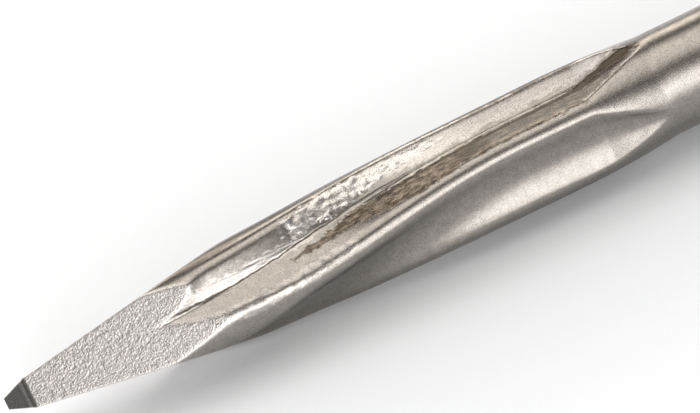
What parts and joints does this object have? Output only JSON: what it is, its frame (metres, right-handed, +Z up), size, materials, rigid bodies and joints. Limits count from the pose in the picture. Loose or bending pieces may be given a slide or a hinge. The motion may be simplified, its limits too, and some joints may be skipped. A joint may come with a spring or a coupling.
{
  "type": "pointed chisel with SDS-plus shank",
  "caption": "Forged steel pointed chisel for a rotary hammer: square point, twisted flutes, round bar and slotted 10 mm quick-change shank.",
  "frame": {"origin": "under the middle of the chisel's length, on the surface that it lies on", "axes": "+X along the chisel, from its point to its struck end, +Z up; the axis is level, 7.19 mm above the origin"},
  "size_m": [0.25, 0.0148, 0.0144],
  "materials": {
    "steel": "satin"
  },
  "bodies": {
    "root": {"chisel": "steel"}
  },
  "joints": []
}
